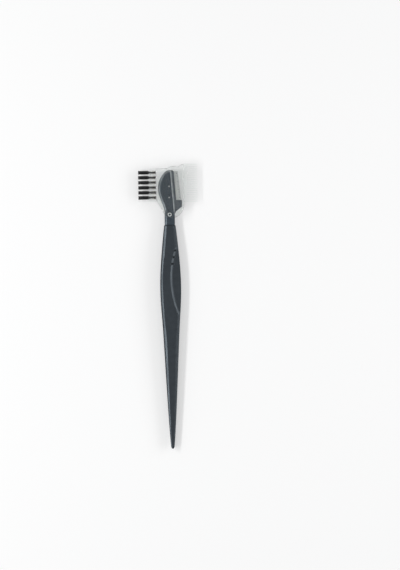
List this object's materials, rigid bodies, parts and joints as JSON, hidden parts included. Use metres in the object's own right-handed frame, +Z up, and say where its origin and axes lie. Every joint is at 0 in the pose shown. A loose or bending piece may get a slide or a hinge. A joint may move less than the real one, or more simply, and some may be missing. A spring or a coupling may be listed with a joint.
{
  "type": "eyebrow razor",
  "caption": "Slim eyebrow razor: guarded steel blade in a bevelled plastic head on a long tapered grip, with a clear pull-off cap that carries a brush and a comb.",
  "frame": {"origin": "on the flat back face of the grip, on the long axis, at the grip's widest place", "axes": "+Y along the razor towards the blade end, +X towards the blade and comb side, +Z up out of the front face"},
  "size_m": [0.0257, 0.1231, 0.005],
  "materials": {
    "black_plastic": "satin moulded plastic",
    "blade_steel": "ground steel",
    "guard_foil": "folded steel foil",
    "pin_steel": "turned steel",
    "clear_plastic": "clear moulded plastic",
    "bristle": "nylon bristles",
    "anchor_wire": "flat wire"
  },
  "bodies": {
    "razor": {"handle": "black_plastic", "razor_head": "black_plastic", "blade": "blade_steel", "blade_guard": "guard_foil", "blade_pin_upper": "pin_steel", "blade_pin_lower": "pin_steel"},
    "cap": {"cap": "clear_plastic", "brush_tuft_1": "bristle", "brush_tuft_2": "bristle", "brush_tuft_3": "bristle", "brush_tuft_4": "bristle", "brush_tuft_5": "bristle", "brush_tuft_6": "bristle", "tuft_anchor_1": "anchor_wire", "tuft_anchor_2": "anchor_wire", "tuft_anchor_3": "anchor_wire", "tuft_anchor_4": "anchor_wire", "tuft_anchor_5": "anchor_wire", "tuft_anchor_6": "anchor_wire"}
  },
  "joints": [
    {"name": "cap_pull", "type": "slide", "parent": "razor", "child": "cap", "axis": [0, 1, 0], "range_m": [0, 0.026]}
  ]
}
